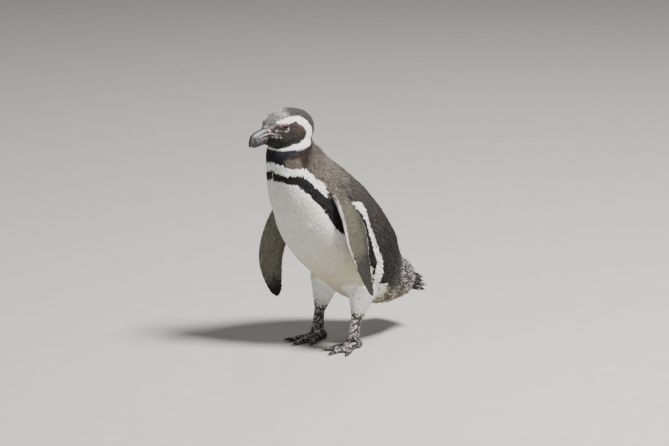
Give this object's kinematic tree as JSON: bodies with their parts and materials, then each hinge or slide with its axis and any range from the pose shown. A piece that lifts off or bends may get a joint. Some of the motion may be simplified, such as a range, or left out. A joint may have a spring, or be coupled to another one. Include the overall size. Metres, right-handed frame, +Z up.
{
  "type": "magellanic penguin",
  "caption": "Still, life-size model of a standing adult penguin leaning forward, with hanging flippers, webbed feet and a short stiff tail.",
  "frame": {"origin": "on the floor, under the middle of the whole bird's box", "axes": "+Z up out of the crown, -Y the way the bird faces, +X its left side"},
  "size_m": [0.248, 0.398, 0.4578],
  "materials": {
    "dark_plumage": "short overlapping feathers, blackish brown, slightly glossy",
    "white_plumage": "short overlapping feathers, white to cream, with a black band at breast and flank",
    "foot_skin": "scaly skin, blackish with pale mottling",
    "horn": "horn, blackish with a paler band near the bill's tip",
    "eye": "wet, dark brown with a black pupil"
  },
  "bodies": {
    "root": {"head": "dark_plumage", "neck": "dark_plumage", "trunk": "white_plumage", "tail": "dark_plumage", "flipper_left": "dark_plumage", "flipper_right": "dark_plumage", "leg_left": "white_plumage", "leg_right": "white_plumage", "foot_left": "foot_skin", "foot_right": "foot_skin", "claw_left_inner": "horn", "claw_left_middle": "horn", "claw_left_outer": "horn", "claw_left_hind": "horn", "claw_right_inner": "horn", "claw_right_middle": "horn", "claw_right_outer": "horn", "claw_right_hind": "horn", "bill_upper": "horn", "bill_lower": "horn", "eye_left": "eye", "eye_right": "eye"}
  },
  "joints": []
}
